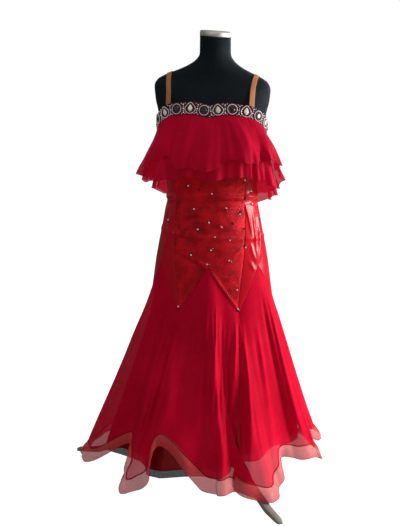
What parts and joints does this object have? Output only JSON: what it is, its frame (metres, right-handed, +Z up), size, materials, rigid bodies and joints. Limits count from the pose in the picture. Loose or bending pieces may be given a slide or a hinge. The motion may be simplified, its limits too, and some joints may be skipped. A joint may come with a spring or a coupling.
{
  "type": "ballroom dance dress on a limbless dress form",
  "caption": "Floor-length strapless-cut ballroom dress with a jewelled band, chiffon frill, godet skirt and stiff hem, worn by a black dress form on a tripod stand.",
  "frame": {"origin": "middle of the whole part's box, on the floor that the stand's feet rest on", "axes": "+Z up along the pole, -Y the way the dress faces, +X to the viewer's right"},
  "size_m": [0.8826, 0.8574, 1.4771],
  "materials": {
    "form_skin": "black jersey cover with a slight sheen",
    "cap_metal": "satin champagne metal",
    "pole_metal": "brushed",
    "stand_paint": "satin grey enamel",
    "glitter_cloth": "red stretch cloth with fine glitter",
    "red_satin": "glossy stretch satin",
    "red_chiffon": "sheer chiffon",
    "clear_braid": "see-through stiff horsehair braid",
    "lining_satin": "red lining satin",
    "black_braid": "black horsehair braid",
    "jewelled_band": "dark red band covered in stones",
    "tan_elastic": "skin-coloured elastic"
  },
  "bodies": {
    "root": {"form_body": "form_skin", "neck_cap": "cap_metal", "stand_pole": "pole_metal", "stand_hub": "stand_paint", "stand_leg_1": "stand_paint", "stand_leg_2": "stand_paint", "stand_leg_3": "stand_paint", "panel_front": "glitter_cloth", "panel_side_front_right": "red_satin", "panel_side_back_right": "red_satin", "panel_back": "red_satin", "panel_side_back_left": "red_satin", "panel_side_front_left": "red_satin", "band_front": "jewelled_band", "band_back": "jewelled_band", "frill_upper": "red_chiffon", "frill_lower": "red_chiffon", "gore_front": "red_chiffon", "gore_right_front": "red_chiffon", "gore_right_back": "red_chiffon", "gore_back": "red_chiffon", "gore_left_back": "red_chiffon", "gore_left_front": "red_chiffon", "hem_braid": "clear_braid", "lining": "lining_satin", "lining_braid": "black_braid", "strap_left": "tan_elastic", "strap_right": "tan_elastic"}
  },
  "joints": []
}
